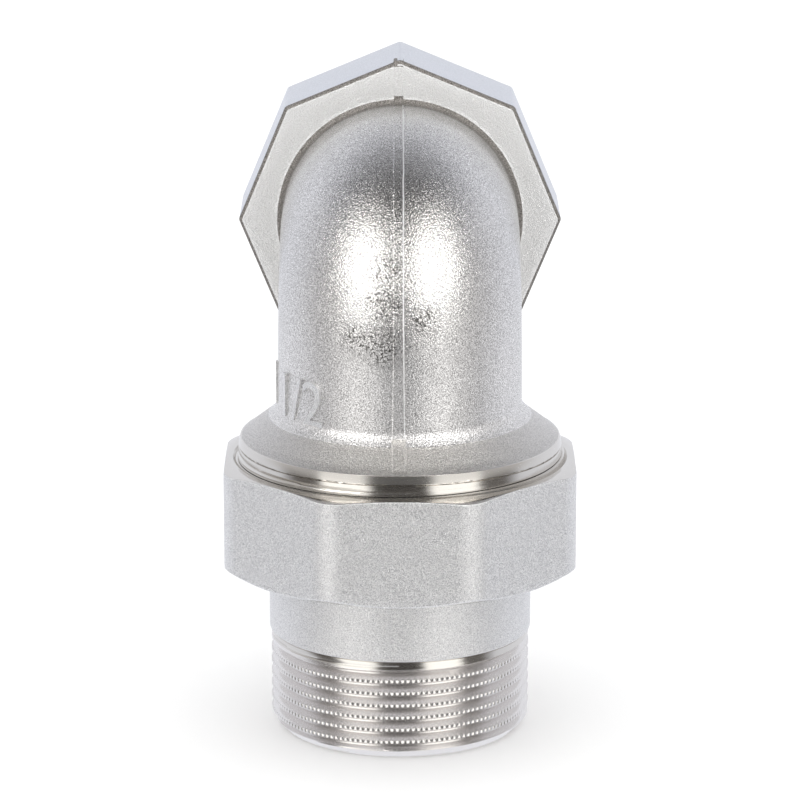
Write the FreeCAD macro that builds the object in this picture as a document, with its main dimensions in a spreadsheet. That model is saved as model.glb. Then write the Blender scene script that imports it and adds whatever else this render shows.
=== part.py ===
"""Angled pipe union, male to female, for 1 1/2 inch pipe threads: a forged, nickel-plated brass
elbow with an octagon socket, a loose octagon union nut, a tail piece with a male pipe thread and
the flat washer that seals between the elbow and the tail piece.

Frame: millimetres. The union stands on the end of the tail piece, whose end face lies on Z = 0.
Z runs up the common axis of tail piece, nut and union end. The socket opens towards +Y.
Threads are plain cylinders here: male ones at the crest, the socket's at the crest of its female
thread, and the nut's at the root, so that the elbow's male end fits it with a small clearance.
"""

import FreeCAD
import Part
import math
import os
import Sketcher

OCTAGON_SIDES = 8
HALF_CORNER_DEG = 180.0 / OCTAGON_SIDES
CORNER_TO_FLAT = 1 / math.cos(math.radians(HALF_CORNER_DEG))
CLEAR_OF_CORNERS = 1.2  # as a share of the half width across flats; a corner is at 1.08
SKIRT_DEG = 37.3  # slope of the elbow's skirt against the horizontal
SKIRT_RISE = math.tan(math.radians(SKIRT_DEG))
SKIRT_COS = math.cos(math.radians(SKIRT_DEG))
SKIRT_SIN = math.sin(math.radians(SKIRT_DEG))
FILLET_REACH = math.tan(math.radians((90 - SKIRT_DEG) / 2))
SELECT_TOLERANCE = 1e-4

SIZES = {
    # Pipe threads, both ends
    "pipe_thread_dia": 47.8,
    "thread_depth": 1.48,
    # Tail piece
    "male_thread_length": 18.8,
    "male_end_chamfer": 0.8,
    "tail_wall": 4.4,
    "tail_tube_step": 0.35,
    "tail_tube_length": 16.7,
    "shoulder_step": 3.55,
    "shoulder_thickness": 4.5,
    "shoulder_chamfer": 0.5,
    # Washer
    "washer_margin": 0.3,
    "washer_bore_step": 2.0,
    "washer_thickness": 2.0,
    # Union nut
    "shoulder_clearance": 0.52,
    "thread_clearance": 0.1,
    "nut_wall": 2.3,
    "nut_height": 19.8,
    "nut_lip_thickness": 4.0,
    "nut_lip_clearance": 0.35,
    "nut_corner_round": 5.5,
    "nut_chamfer_start": 0.6,
    "nut_top_slope": 0.33,
    "nut_base_slope": 0.65,
    "nut_mouth_chamfer": 0.9,
    # Union end of the elbow
    "union_thread_length": 11.8,
    "union_end_chamfer": 0.8,
    "union_bore_step": 1.5,
    "union_bore_depth": 4.5,
    "rim_inset": 0.05,
    "rim_height": 1.4,
    "rim_groove_width": 0.4,
    "rim_groove_depth": 0.5,
    "skirt_fillet": 1.25,
    # Bend
    "tube_wall": 2.9,
    "crotch_radius": 3.6,
    # Octagon socket
    "socket_neck": 8.0,
    "socket_length": 22.0,
    "socket_wall": 5.93,
    "socket_floor": 2.0,
    "socket_edge_round": 0.8,
    "socket_root": 0.8,
    "socket_mouth_chamfer": 1.7,
    # Seam left where the forging's flash was trimmed off
    "seam_width": 2.1,
    "seam_height": 0.25,
}


class Size:
    """A length with the sheet formula that gives it, so that both stay together in a sum."""

    def __init__(self, value, formula):
        self.value = value
        self.formula = formula

    def joined(self, other, sign, value):
        term = other.formula if isinstance(other, Size) else repr(float(other))
        return Size(value, "(%s %s %s)" % (self.formula, sign, term))

    def __add__(self, other):
        return self.joined(other, "+", self.value + plain(other))

    def __sub__(self, other):
        return self.joined(other, "-", self.value - plain(other))

    def __mul__(self, other):
        return self.joined(other, "*", self.value * plain(other))

    def __truediv__(self, other):
        return self.joined(other, "/", self.value / plain(other))

    def __neg__(self):
        return Size(-self.value, "(0 - %s)" % self.formula)


def plain(number):
    return number.value if isinstance(number, Size) else float(number)


def make_sheet(doc):
    sheet = doc.addObject("Spreadsheet::Sheet", "Sizes")
    for row, (alias, value) in enumerate(SIZES.items(), start=1):
        sheet.set("A%d" % row, alias)
        sheet.set("B%d" % row, str(value))
        sheet.setAlias("B%d" % row, alias)
    doc.recompute()
    return sheet


NOTHING = Size(0.0, "0")


def size(alias):
    return Size(SIZES[alias], "Sizes." + alias)


def bind(thing, path, length):
    thing.setExpression(path, length.formula)


def new_body(doc, label):
    body = doc.addObject("PartDesign::Body", label)
    body.Label = label
    return body


def new_sketch(body, name, role, height=None):
    """A sketch on one of the body's own planes, moved along the plane's normal by height."""
    plane = [f for f in body.Origin.OriginFeatures if f.Role == role][0]
    sketch = body.newObject("Sketcher::SketchObject", name)
    sketch.AttachmentSupport = [(plane, "")]
    sketch.MapMode = "FlatFace"
    if height is not None:
        bind(sketch, "AttachmentOffset.Base.z", height)
    return sketch


def fix(sketch, kind, geometry, point, length):
    """Holds one coordinate of a point at a length from the sketch's origin."""
    number = sketch.addConstraint(Sketcher.Constraint(kind, -1, 1, geometry, point, length.value))
    sketch.setExpression("Constraints[%d]" % number, length.formula)


def draw_line(sketch, start, end):
    a = FreeCAD.Vector(plain(start[0]), plain(start[1]), 0)
    b = FreeCAD.Vector(plain(end[0]), plain(end[1]), 0)
    return sketch.addGeometry(Part.LineSegment(a, b), False), 1, 2


def draw_arc(sketch, start, end, centre, counter_clockwise):
    """An arc from start to end; returns its number and which of its ends are start and end."""
    first, last = (start, end) if counter_clockwise else (end, start)
    cx, cy = plain(centre[0]), plain(centre[1])
    angles = [math.atan2(plain(p[1]) - cy, plain(p[0]) - cx) for p in (first, last)]
    radius = math.hypot(plain(start[0]) - cx, plain(start[1]) - cy)
    if angles[1] <= angles[0]:
        angles[1] += 2 * math.pi
    circle = Part.Circle(FreeCAD.Vector(cx, cy, 0), FreeCAD.Vector(0, 0, 1), radius)
    number = sketch.addGeometry(Part.ArcOfCircle(circle, *angles), False)
    fix(sketch, "DistanceX", number, 3, centre[0])
    return (number, 1, 2) if counter_clockwise else (number, 2, 1)


def draw_outline(sketch, corners, closed=True):
    """Lines and arcs through corners, each held by its sheet formulas.

    A corner is (x, y), or (x, y, centre, counter_clockwise) where an arc leads up to it.
    """
    count = len(corners)
    pieces = []
    for i in range(count if closed else count - 1):
        start, end = corners[i], corners[(i + 1) % count]
        if len(end) == 2:
            pieces.append(draw_line(sketch, start, end))
        else:
            pieces.append(draw_arc(sketch, start, end, end[2], end[3]))
    for i, (number, first, last) in enumerate(pieces):
        if closed or i + 1 < len(pieces):
            follower, its_first, _ = pieces[(i + 1) % len(pieces)]
            sketch.addConstraint(
                Sketcher.Constraint("Coincident", number, last, follower, its_first)
            )
        fix(sketch, "DistanceX", number, first, corners[i][0])
        fix(sketch, "DistanceY", number, first, corners[i][1])
    if not closed:
        number, _, last = pieces[-1]
        fix(sketch, "DistanceX", number, last, corners[-1][0])
        fix(sketch, "DistanceY", number, last, corners[-1][1])


def draw_circle(sketch, radius, centre_height=None):
    """A circle on the sketch's vertical axis, at its origin or at centre_height."""
    height = plain(centre_height) if centre_height is not None else 0
    circle = Part.Circle(FreeCAD.Vector(0, height, 0), FreeCAD.Vector(0, 0, 1), radius.value)
    number = sketch.addGeometry(circle, False)
    if centre_height is None:
        sketch.addConstraint(Sketcher.Constraint("Coincident", number, 3, -1, 1))
    else:
        sketch.addConstraint(Sketcher.Constraint("PointOnObject", number, 3, -2))
        fix(sketch, "DistanceY", number, 3, centre_height)
    row = sketch.addConstraint(Sketcher.Constraint("Radius", number, radius.value))
    sketch.setExpression("Constraints[%d]" % row, radius.formula)


def draw_octagon(sketch, flat_radius, centre_height, first_corner_deg):
    """An octagon by its centre-to-flat radius, its corners counted from first_corner_deg."""
    radius = flat_radius * CORNER_TO_FLAT
    corners = []
    for i in range(OCTAGON_SIDES):
        angle = math.radians(first_corner_deg + i * 2 * HALF_CORNER_DEG)
        across = round(math.cos(angle), 12)
        up = round(math.sin(angle), 12)
        corners.append((radius * across, centre_height + radius * up))
    draw_outline(sketch, corners)


def revolve(body, name, corners, cut=False):
    """Turns an outline in the XZ plane, given as (radius, height) corners, about Z."""
    sketch = new_sketch(body, name + "_outline", "XZ_Plane")
    draw_outline(sketch, corners)
    feature = body.newObject("PartDesign::Groove" if cut else "PartDesign::Revolution", name)
    feature.Profile = sketch
    feature.ReferenceAxis = (sketch, ["V_Axis"])
    feature.Angle = 360
    return feature


def extrude(body, name, sketch, length, cut=False, flipped=False):
    feature = body.newObject("PartDesign::Pocket" if cut else "PartDesign::Pad", name)
    feature.Profile = sketch
    bind(feature, "Length", length)
    feature.Reversed = flipped
    return feature


def edge_names(shape, wanted):
    return [
        "Edge%d" % i
        for i, edge in enumerate(shape.Edges, start=1)
        if not edge.Degenerated and wanted(edge)
    ]


def dress(body, kind, name, wanted, length):
    """Fillets or chamfers the edges of the body's last feature that wanted() picks."""
    body.Document.recompute()
    base = body.Tip
    names = edge_names(base.Shape, wanted)
    if not names:
        raise RuntimeError("%s found no edge" % name)
    feature = body.newObject("PartDesign::" + kind, name)
    feature.Base = (base, names)
    bind(feature, "Radius" if kind == "Fillet" else "Size", length)
    return feature


def near(a, b):
    return abs(a - b) < SELECT_TOLERANCE


def is_ring(edge, radius, axis, height):
    """True for a circle about Z or about the socket's axis, of that radius, at that height."""
    curve = edge.Curve
    if not isinstance(curve, Part.Circle):
        return False
    place = curve.Center.z if axis == "Z" else curve.Center.y
    turned = abs(curve.Axis.z if axis == "Z" else curve.Axis.y)
    return near(turned, 1) and near(curve.Radius, radius) and near(place, height)


# Radii, each worked out from the pipe thread, a wall or a clearance
def male_thread_radius():
    return size("pipe_thread_dia") / 2


def socket_thread_radius():
    return male_thread_radius() - size("thread_depth")


def waterway_radius():
    return male_thread_radius() - size("tail_wall")


def tube_radius():
    return waterway_radius() + size("tube_wall")


def tail_tube_radius():
    return male_thread_radius() + size("tail_tube_step")


def shoulder_radius():
    return tail_tube_radius() + size("shoulder_step")


def union_thread_radius():
    """The shoulder passes through the crests of the nut's thread."""
    return shoulder_radius() + size("shoulder_clearance") + size("thread_depth")


def nut_thread_radius():
    return union_thread_radius() + size("thread_clearance")


def nut_flat_radius():
    return nut_thread_radius() + size("nut_wall")


def rim_radius():
    return union_thread_radius() - size("rim_inset")


def socket_flat_radius():
    return socket_thread_radius() + size("socket_wall")


# Heights of the stack, from the tail piece's end face upwards
def shoulder_base():
    return size("male_thread_length") + size("tail_tube_length")


def washer_base():
    return shoulder_base() + size("shoulder_thickness")


def elbow_end():
    return washer_base() + size("washer_thickness")


def rim_base():
    return elbow_end() + size("union_thread_length")


def rim_top():
    return rim_base() + size("rim_height")


def skirt_top():
    """Where the skirt's cone would meet the tube, but for the fillet between them."""
    return rim_top() + (rim_radius() - tube_radius()) * SKIRT_RISE


def fillet_reach():
    return size("skirt_fillet") * FILLET_REACH


def bend_base():
    return skirt_top() + size("skirt_fillet")


def bend_radius():
    return tube_radius() + size("crotch_radius")


def socket_axis():
    return bend_base() + bend_radius()


def nut_base():
    return shoulder_base() - size("nut_lip_thickness")


def nut_top():
    return nut_base() + size("nut_height")


# Reach of the socket, from the vertical axis outwards
def socket_back():
    return bend_radius() + size("socket_neck")


def socket_front():
    return socket_back() + size("socket_length")


def make_tail_piece(doc):
    """Turned and forged tube: male pipe thread below, a shoulder above that the nut pulls up."""
    body = new_body(doc, "tail_piece")
    bore = waterway_radius()
    thread = male_thread_radius()
    chamfer = size("male_end_chamfer")
    tube = tail_tube_radius()
    shoulder = shoulder_radius()
    top = washer_base()
    revolve(
        body,
        "tail_turning",
        [
            (bore, NOTHING),
            (thread - chamfer, NOTHING),
            (thread, chamfer),
            (thread, size("male_thread_length")),
            (tube, size("male_thread_length")),
            (tube, shoulder_base()),
            (shoulder, shoulder_base()),
            (shoulder, top - size("shoulder_chamfer")),
            (shoulder - size("shoulder_chamfer"), top),
            (bore, top),
        ],
    )
    return body


def make_sealing_washer(doc):
    """Flat rubber washer between the tail piece's shoulder and the elbow's end face."""
    body = new_body(doc, "sealing_washer")
    sketch = new_sketch(body, "washer_rings", "XY_Plane", washer_base())
    draw_circle(sketch, shoulder_radius() - size("washer_margin"))
    draw_circle(sketch, waterway_radius() + size("washer_bore_step"))
    extrude(body, "washer_pad", sketch, size("washer_thickness"))
    return body


def make_union_nut(doc):
    """Octagon nut: its lip pulls the tail piece's shoulder up to the elbow's threaded end."""
    body = new_body(doc, "union_nut")
    outline = new_sketch(body, "nut_octagon", "XY_Plane", nut_base())
    draw_octagon(outline, nut_flat_radius(), NOTHING, HALF_CORNER_DEG)
    extrude(body, "nut_blank", outline, size("nut_height"))

    def upright(edge):
        box = edge.BoundBox
        return near(box.ZLength, SIZES["nut_height"]) and box.XLength + box.YLength < 1

    dress(body, "Fillet", "nut_corner_rounds", upright, size("nut_corner_round"))

    # Cones turned on both ends take the corners off, which leaves an arc on every flat.
    inner = nut_flat_radius() - size("nut_chamfer_start")
    outer = nut_flat_radius() * CLEAR_OF_CORNERS
    reach = outer - inner
    for name, end, slope in (
        ("nut_top_cone", nut_top(), -size("nut_top_slope")),
        ("nut_base_cone", nut_base(), size("nut_base_slope")),
    ):
        fall = reach * slope
        revolve(body, name, [(inner, end), (outer, end), (outer, end + fall)], cut=True)

    lip = new_sketch(body, "nut_lip_hole", "XY_Plane", nut_base())
    draw_circle(lip, tail_tube_radius() + size("nut_lip_clearance"))
    extrude(body, "nut_lip_bore", lip, size("nut_height"), cut=True, flipped=True)

    chamber = new_sketch(body, "nut_thread_hole", "XY_Plane", shoulder_base())
    draw_circle(chamber, nut_thread_radius())
    extrude(body, "nut_thread_bore", chamber, size("nut_height"), cut=True, flipped=True)
    dress(
        body,
        "Chamfer",
        "nut_mouth",
        lambda edge: is_ring(edge, nut_thread_radius().value, "Z", nut_top().value),
        size("nut_mouth_chamfer"),
    )
    return body


def draw_spine(body, name, start, end):
    """The waterway's centre line: up the union's axis, round the bend and along the socket's."""
    sketch = new_sketch(body, name, "YZ_Plane")
    centre = (bend_radius(), bend_base())
    draw_outline(
        sketch,
        [
            (NOTHING, start),
            (NOTHING, bend_base()),
            (bend_radius(), socket_axis(), centre, False),
            (end, socket_axis()),
        ],
        closed=False,
    )
    return sketch


def sweep(body, name, radius, start, end, cut=False):
    """A round tube, or the hole in it, along the spine from height start to reach end."""
    spine = draw_spine(body, name + "_spine", start, end)
    ring = new_sketch(body, name + "_ring", "XY_Plane", start)
    draw_circle(ring, radius)
    kind = "PartDesign::SubtractivePipe" if cut else "PartDesign::AdditivePipe"
    feature = body.newObject(kind, name)
    feature.Profile = ring
    feature.Spine = (spine, ["Edge1", "Edge2", "Edge3"])
    return feature


def make_elbow_body(doc):
    """Forged elbow: threaded union end with its skirt, tight bend, octagon socket and seam."""
    body = new_body(doc, "elbow_body")
    tube = tube_radius()
    sweep(body, "tube", tube, rim_base(), socket_front())

    outline = new_sketch(body, "socket_octagon", "XZ_Plane", -socket_back())
    draw_octagon(outline, socket_flat_radius(), socket_axis(), 90)
    extrude(body, "socket_blank", outline, size("socket_length"), flipped=True)
    back = socket_back().value
    front = socket_front().value

    def end_edge(edge):
        box = edge.BoundBox
        return isinstance(edge.Curve, Part.Line) and near(box.YMin, box.YMax)

    dress(body, "Fillet", "socket_edge_rounds", end_edge, size("socket_edge_round"))
    dress(
        body,
        "Chamfer",
        "socket_root",
        lambda edge: is_ring(edge, tube.value, "Y", back),
        size("socket_root"),
    )

    thread = union_thread_radius()
    chamfer = size("union_end_chamfer")
    rim = rim_radius()
    groove = size("rim_groove_width")
    core = waterway_radius() / 2
    revolve(
        body,
        "union_end",
        [
            (core, elbow_end()),
            (thread - chamfer, elbow_end()),
            (thread, elbow_end() + chamfer),
            (thread, rim_base() - groove),
            (thread - size("rim_groove_depth"), rim_base() - groove / 2),
            (rim, rim_base()),
            (rim, rim_top()),
            *skirt_fillet(NOTHING),
            (core, skirt_top() + fillet_reach()),
        ],
    )
    make_seam(body)

    beyond = socket_front() + size("socket_floor")
    sweep(body, "waterway", waterway_radius(), washer_base(), beyond, cut=True)
    seat = new_sketch(body, "union_bore_ring", "XY_Plane", elbow_end())
    draw_circle(seat, waterway_radius() + size("union_bore_step"))
    extrude(body, "union_bore", seat, size("union_bore_depth"), cut=True, flipped=True)
    mouth = new_sketch(body, "socket_ring", "XZ_Plane", -socket_front())
    draw_circle(mouth, socket_thread_radius(), socket_axis())
    depth = size("socket_length") - size("socket_floor")
    extrude(body, "socket_bore", mouth, depth, cut=True, flipped=True)
    bore = socket_thread_radius().value
    dress(
        body,
        "Chamfer",
        "socket_mouth",
        lambda edge: is_ring(edge, bore, "Y", front),
        size("socket_mouth_chamfer"),
    )
    return body


def skirt_fillet(proud):
    """Outline of the hollow round where the skirt meets the tube, proud of it by a length."""
    reach = fillet_reach()
    foot = (
        tube_radius() + reach * SKIRT_COS + proud * SKIRT_SIN,
        skirt_top() - reach * SKIRT_SIN + proud * SKIRT_COS,
    )
    height = skirt_top() + reach
    centre = (tube_radius() + size("skirt_fillet"), height)
    return [foot, (tube_radius() + proud, height, centre, False)]


def make_seam(body):
    """The raised line of the trimmed flash, in the forging's own plane of symmetry."""
    proud = size("seam_height")
    tube = tube_radius() + proud
    rim = rim_radius() - proud
    lift = proud * SKIRT_RISE + proud / SKIRT_COS
    foot, crest = skirt_fillet(proud)
    edge = size("socket_edge_round")
    corner = socket_flat_radius() * CORNER_TO_FLAT - edge
    low = socket_axis() - tube
    high = socket_axis() + tube
    centre = (bend_radius(), bend_base())
    step = socket_back() - proud
    inside = socket_back() + edge
    sketch = new_sketch(body, "seam_outline", "YZ_Plane")
    draw_outline(
        sketch,
        [
            (-rim, rim_top()),
            (-rim, rim_top() + lift),
            (-foot[0], foot[1]),
            (-crest[0], crest[1], (-crest[2][0], crest[2][1]), True),
            (-tube, bend_base()),
            (bend_radius(), high, centre, False),
            (step, high),
            (step, socket_axis() + corner),
            (inside, socket_axis() + corner),
            (inside, socket_axis() - corner),
            (step, socket_axis() - corner),
            (step, low),
            (bend_radius(), low),
            (tube, bend_base(), centre, True),
            crest[:2],
            (*foot, crest[2], False),
            (rim, rim_top() + lift),
            (rim, rim_top()),
        ],
    )
    seam = extrude(body, "seam", sketch, size("seam_width"))
    seam.Midplane = True


def check(doc, bodies):
    for thing in doc.Objects:
        if "Invalid" in thing.State or "Error" in thing.State:
            raise RuntimeError("%s failed: %s" % (thing.Name, thing.State))
    for body in bodies:
        shape = body.Shape
        if shape.isNull() or not shape.isValid() or len(shape.Solids) != 1:
            raise RuntimeError("%s isn't one valid solid" % body.Label)


def main():
    doc = FreeCAD.newDocument("pipe_union")
    make_sheet(doc)
    bodies = [
        make_tail_piece(doc),
        make_sealing_washer(doc),
        make_union_nut(doc),
        make_elbow_body(doc),
    ]
    doc.recompute()
    check(doc, bodies)
    os.makedirs("parts", exist_ok=True)
    for body in bodies:
        body.Shape.exportStep("parts/%s.step" % body.Label)
        box = body.Shape.BoundBox
        print(
            "%-15s %8.0f mm3  z %.2f to %.2f" % (body.Label, body.Shape.Volume, box.ZMin, box.ZMax)
        )


main()
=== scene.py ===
# %% [markdown]
# The object is an angled pipe union in nickel-plated brass. A forged elbow with an octagon socket
# is drawn onto a tail piece by an octagon nut. The imported CAD model is loaded first and stays
# fixed, so that every new piece has a place to go to.

# %% Load the frame
import math

import bmesh
import bpy
import numpy as np
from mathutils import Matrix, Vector


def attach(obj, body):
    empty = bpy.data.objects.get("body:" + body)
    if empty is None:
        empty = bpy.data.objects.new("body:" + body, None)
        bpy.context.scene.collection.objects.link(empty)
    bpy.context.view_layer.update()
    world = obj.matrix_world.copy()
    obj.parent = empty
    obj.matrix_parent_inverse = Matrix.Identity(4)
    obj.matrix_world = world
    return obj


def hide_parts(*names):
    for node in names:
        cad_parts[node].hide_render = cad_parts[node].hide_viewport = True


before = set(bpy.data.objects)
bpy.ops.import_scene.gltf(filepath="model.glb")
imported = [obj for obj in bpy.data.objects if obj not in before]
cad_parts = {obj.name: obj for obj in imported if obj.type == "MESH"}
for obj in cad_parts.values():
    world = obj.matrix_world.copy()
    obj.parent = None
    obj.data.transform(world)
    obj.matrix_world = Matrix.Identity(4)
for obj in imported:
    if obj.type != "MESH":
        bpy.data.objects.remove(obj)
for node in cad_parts.values():
    node.data.update()
bpy.context.view_layer.update()
MM = 0.001

# %% [markdown]
# A product photograph is taken from far away with a long lens, which keeps the pipe's sides
# nearly parallel. A camera could be placed by eye. This one was fitted to the outlines: it stands
# in front of the elbow's back, a little above it, and looks slightly down.

# %% Camera
CAMERA_DISTANCE = 0.7793
CAMERA_RISE = math.radians(14.71)
CAMERA_AIM = 0.06161

bpy.ops.object.select_all(action="DESELECT")
bpy.ops.object.camera_add(
    location=(
        0,
        -CAMERA_DISTANCE * math.cos(CAMERA_RISE),
        CAMERA_AIM + CAMERA_DISTANCE * math.sin(CAMERA_RISE),
    ),
    rotation=(math.pi / 2 - CAMERA_RISE, 0, 0),
)
camera = bpy.context.object
camera.name = "photo_camera"
camera.data.sensor_width = 36
camera.data.lens = 190.75
bpy.context.scene.camera = camera
print("camera", [round(x, 4) for x in camera.location])

# %% [markdown]
# Both male threads are the same 55 degree pipe thread with 11 turns to the inch. Such a thread is
# a wall whose rows climb by one pitch in each turn. A flat grid is rolled up so that its rows do
# just that, which gives crisp crests. A screw made by a modifier would need its ends cut, while
# here the rows that pass the ends are simply held at them and merged.

# %% Thread wall
MERGE = 0.002 * MM
PITCH = 25.4 / 11
DEPTH = 1.48
CREST = 0.5
ROOT = 0.25
FLANK = (PITCH - CREST - ROOT) / 2
THREAD_ROWS = [
    (-CREST / 2, 0.0),
    (0.0, 0.0),
    (CREST / 2, 0.0),
    (CREST / 2 + FLANK * 0.15, 0.15),
    (CREST / 2 + FLANK * 0.5, 0.5),
    (CREST / 2 + FLANK, 1.0),
    (CREST / 2 + FLANK + ROOT, 1.0),
    (CREST / 2 + FLANK * 1.5 + ROOT, 0.5),
]


def depth_share(offset):
    """The thread's depth at a height above its crest's middle: 0 at the crest, 1 at the root."""
    across = np.abs((offset + PITCH / 2) % PITCH - PITCH / 2)
    return np.clip((across - CREST / 2) / FLANK, 0, 1)


def take(piece):
    bpy.ops.object.select_all(action="DESELECT")
    piece.select_set(True)
    bpy.context.view_layer.objects.active = piece


def get_points(piece):
    points = np.empty(len(piece.data.vertices) * 3)
    piece.data.vertices.foreach_get("co", points)
    return points.reshape(-1, 3)


def set_points(piece, points):
    piece.data.vertices.foreach_set("co", points.ravel())
    piece.data.update()


def rolled_grid(name, columns, rows):
    """A flat grid of the given counts, with each vertex's column and row number."""
    bpy.ops.object.select_all(action="DESELECT")
    bpy.ops.mesh.primitive_grid_add(x_subdivisions=columns, y_subdivisions=rows, size=2)
    piece = bpy.context.object
    piece.name = piece.data.name = name
    flat = get_points(piece)
    column = np.rint((flat[:, 0] + 1) / 2 * columns).astype(int)
    row = np.rint((flat[:, 1] + 1) / 2 * rows).astype(int)
    return piece, column, row


def thread_wall(name, columns, crest_radius, base, top, crest_height, fade, chamfer, notches=0):
    """The outside of a male thread between two heights in mm. crest_height is a crest at the front,
    fade is (height of the full depth's end, height of the groove's end)."""
    per_pitch = len(THREAD_ROWS)
    turns = math.ceil((top - base) / PITCH) + 3
    piece, column, row = rolled_grid(name, columns, turns * per_pitch)
    start = crest_height - (math.ceil((crest_height - base) / PITCH) + 2) * PITCH
    offsets = np.array([r[0] for r in THREAD_ROWS])
    shares = np.array([r[1] for r in THREAD_ROWS])
    angle = column / columns * 2 * math.pi
    helix = start + (row // per_pitch) * PITCH + PITCH * column / columns
    height = helix + offsets[row % per_pitch]
    share = shares[row % per_pitch]
    outside = (height < base) | (height > top)
    height = np.clip(height, base, top)
    share = np.where(outside, depth_share(height - start - PITCH * column / columns), share)
    share = share * np.clip((fade[1] - height) / (fade[1] - fade[0]), 0, 1)
    radius = crest_radius - DEPTH * share
    if notches:
        in_notch = (column * notches * 4 // columns) % 4 == 2
        cut = np.select([row % per_pitch == place for place in (2, 1, 0)], NOTCH_CUTS, 0.0)
        cut = cut * np.clip((fade[0] - height) / NOTCH_END + 1.0, 0, 1)
        cut = cut * np.clip((height - base - chamfer) / NOTCH_START, 0, 1)
        radius = radius - np.where(in_notch & ~outside, cut, 0.0)
    radius = np.minimum(radius, crest_radius - chamfer + (height - base))
    front = angle - math.pi / 2
    points = np.stack([radius * np.cos(front), radius * np.sin(front), height], axis=1) * MM
    set_points(piece, points)
    take(piece)
    bpy.ops.object.mode_set(mode="EDIT")
    bpy.ops.mesh.select_all(action="SELECT")
    bpy.ops.mesh.remove_doubles(threshold=MERGE)
    bpy.ops.mesh.dissolve_degenerate(threshold=MERGE)
    bpy.ops.mesh.select_all(action="DESELECT")
    return piece


def pick_rim(piece, height):
    """Selects the open edge loop at a height in mm, in edit mode."""
    mesh = bmesh.from_edit_mesh(piece.data)
    bpy.ops.mesh.select_all(action="DESELECT")
    bpy.ops.mesh.select_mode(type="EDGE")
    for edge in mesh.edges:
        level = all(abs(v.co.z - height * MM) < 0.01 * MM for v in edge.verts)
        edge.select = edge.is_boundary and level
    mesh.select_flush_mode()
    bmesh.update_edit_mesh(piece.data)
    return sum(e.select for e in mesh.edges)

# %% [markdown]
# Everything round on the union is turned. Its outline is followed ring by ring: the open edge is
# extruded, moved along the axis and scaled to the next radius, as on a lathe. A modifier could
# spin the whole outline at once, but this way the ring can go on from the thread's open edge.

# %% Turning
def turn(profile, last, axis="z", centre=0.0):
    """Extrudes the selected ring through (radius, height) pairs in mm along the axis."""
    for radius, along in profile:
        step = (along - last[1]) * MM
        size = radius / last[0]
        if axis == "z":
            move, scale, pivot = (0, 0, step), (size, size, 1), (0, 0, along * MM)
        else:
            move, scale, pivot = (0, step, 0), (size, 1, size), (0, along * MM, centre * MM)
        bpy.ops.mesh.extrude_region_move(TRANSFORM_OT_translate={"value": move})
        if abs(size - 1) > 1e-6:
            bpy.ops.transform.resize(value=scale, center_override=pivot)
        last = (radius, along)
    return last


def arc_points(centre, radius, start_deg, end_deg, steps):
    """Points on an arc after its first, for a profile in mm."""
    turned = [start_deg + (end_deg - start_deg) * i / steps for i in range(1, steps + 1)]
    angles = [math.radians(degrees) for degrees in turned]
    return [(centre[0] + radius * math.cos(a), centre[1] + radius * math.sin(a)) for a in angles]


def place_selected(piece, rule):
    """Moves each selected vertex to where the rule, in mm, puts it."""
    mesh = bmesh.from_edit_mesh(piece.data)
    for vertex in mesh.verts:
        if vertex.select:
            vertex.co = Vector(rule(*(vertex.co / MM))) * MM
    bmesh.update_edit_mesh(piece.data)


def close_rings(piece):
    """Bridges the two open loops that are left and leaves edit mode."""
    mesh = bmesh.from_edit_mesh(piece.data)
    bpy.ops.mesh.select_mode(type="EDGE")
    for edge in mesh.edges:
        edge.select = edge.is_boundary
    mesh.select_flush_mode()
    bmesh.update_edit_mesh(piece.data)
    bpy.ops.mesh.bridge_edge_loops()
    bpy.ops.mesh.select_all(action="SELECT")
    bpy.ops.mesh.normals_make_consistent(inside=False)
    bpy.ops.object.mode_set(mode="OBJECT")


def heal(piece, holes=False):
    """Merges doubled points, closes holes where told to, and turns all faces outwards."""
    take(piece)
    bpy.ops.object.mode_set(mode="EDIT")
    bpy.ops.mesh.select_all(action="SELECT")
    bpy.ops.mesh.remove_doubles(threshold=MERGE)
    if holes:
        bpy.ops.mesh.fill_holes(sides=8)
    bpy.ops.mesh.normals_make_consistent(inside=False)
    bpy.ops.object.mode_set(mode="OBJECT")


def smooth(piece, degrees=32):
    """Smooths all but the sharp edges, and prints what the piece measures."""
    take(piece)
    bpy.ops.object.shade_smooth_by_angle(angle=math.radians(degrees))
    mesh = bmesh.new()
    mesh.from_mesh(piece.data)
    open_edges = sum(1 for e in mesh.edges if not e.is_manifold)
    volume = mesh.calc_volume(signed=True) / MM**3
    triangles = sum(len(f.verts) - 2 for f in mesh.faces)
    mesh.free()
    print(piece.name, "triangles", triangles, "open edges", open_edges, "volume mm3", round(volume))

# %% [markdown]
# The tail piece carries the male pipe thread. Its crests are knurled with 145 small notches in a
# turn, which hold the sealing thread or hemp. Above the thread the bar is left plain, then comes
# the blasted tube, and at the top the shoulder that the nut's lip pulls on. Separate cylinders
# could stand for all this, but one outline that runs up outside and back down through the bore
# gives a single closed wall.

# %% Tail piece
NOTCH_COUNT = 145
NOTCH_CUTS = [0.17, 0.12, 0.04]
NOTCH_START, NOTCH_END = 0.2, 0.6
THREAD_RADIUS, THREAD_TOP = 23.9, 18.0
TAIL_TUBE, TAIL_BORE = 24.25, 19.5
SHOULDER, SHOULDER_BASE, TAIL_TOP = 27.8, 35.5, 40.0

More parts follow.
